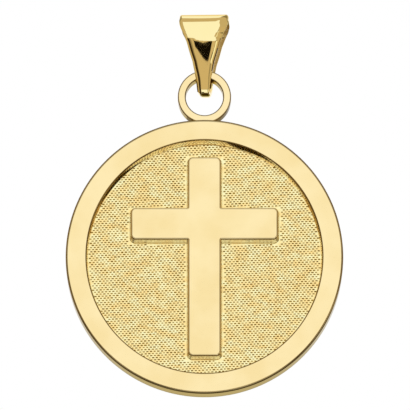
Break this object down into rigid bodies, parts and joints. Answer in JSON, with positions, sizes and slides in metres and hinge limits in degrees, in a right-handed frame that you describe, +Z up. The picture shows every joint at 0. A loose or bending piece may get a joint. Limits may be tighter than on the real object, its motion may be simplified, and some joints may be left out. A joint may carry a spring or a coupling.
{
  "type": "religious medal",
  "caption": "Round gold medal with a raised Latin cross on a textured field, hanging by its soldered ring from a tapered bail.",
  "frame": {"origin": "inside top of the bail, where a neck chain bears", "axes": "+X across the medal's face to the viewer's right, -Y out of the face, +Z up; the medal hangs below"},
  "size_m": [0.02, 0.0032, 0.0279],
  "materials": {
    "medal_gold": "polished yellow gold with a fine pitted field",
    "bail_gold": "polished yellow gold"
  },
  "bodies": {
    "bail": {"bail": "bail_gold"},
    "medal": {"medal": "medal_gold"}
  },
  "joints": [
    {"name": "swing", "type": "hinge", "parent": "bail", "child": "medal", "pos_m": [0, 0, -0.004], "axis": [1, 0, 0], "range_deg": [-110, 110]}
  ]
}
